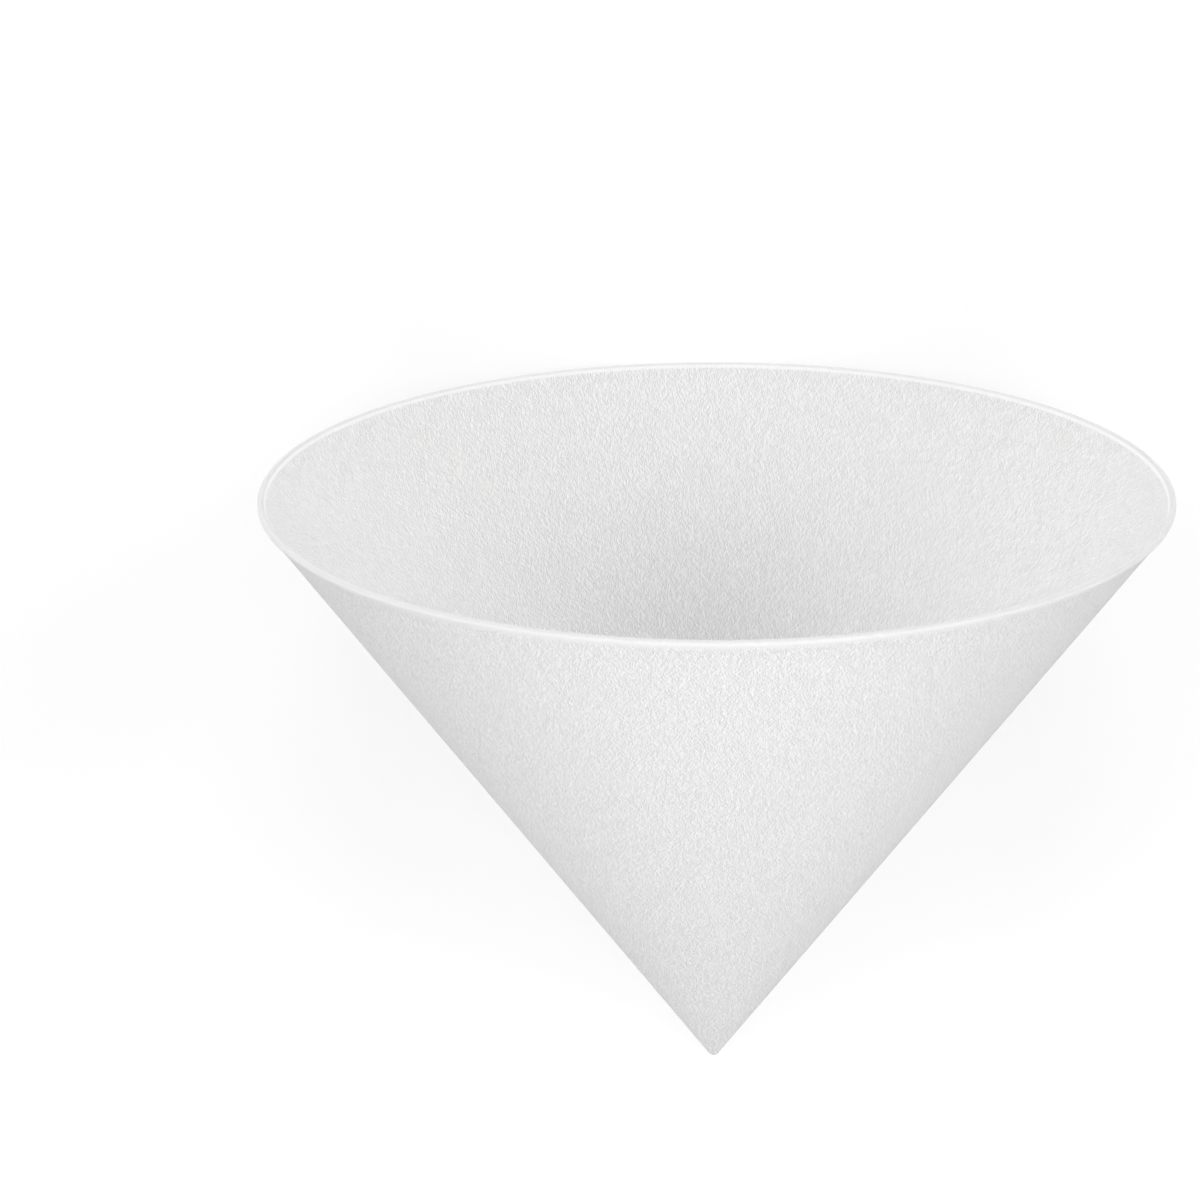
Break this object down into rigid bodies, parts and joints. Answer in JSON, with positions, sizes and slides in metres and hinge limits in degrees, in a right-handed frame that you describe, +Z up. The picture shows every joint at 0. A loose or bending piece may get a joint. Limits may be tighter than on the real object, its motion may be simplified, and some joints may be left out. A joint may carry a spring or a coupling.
{
  "type": "fryer oil filter cone",
  "caption": "White nonwoven cone for straining hot fryer oil, wrapped from one sheet with a soft round lip and an overlocked seam, lying on its side.",
  "frame": {"origin": "centre of the bounding box on the floor, under the cone as it lies on its side", "axes": "+Z up from the floor, the tip points along -Y and the mouth opens towards +Y and upwards, +X across the mouth"},
  "size_m": [0.2548, 0.2188, 0.2073],
  "materials": {
    "nonwoven": "matte white nonwoven with a fine crinkled fibre grain",
    "thread": "matte white spun sewing thread"
  },
  "bodies": {
    "root": {"filter_cone": "nonwoven", "seam_thread": "thread"}
  },
  "joints": []
}
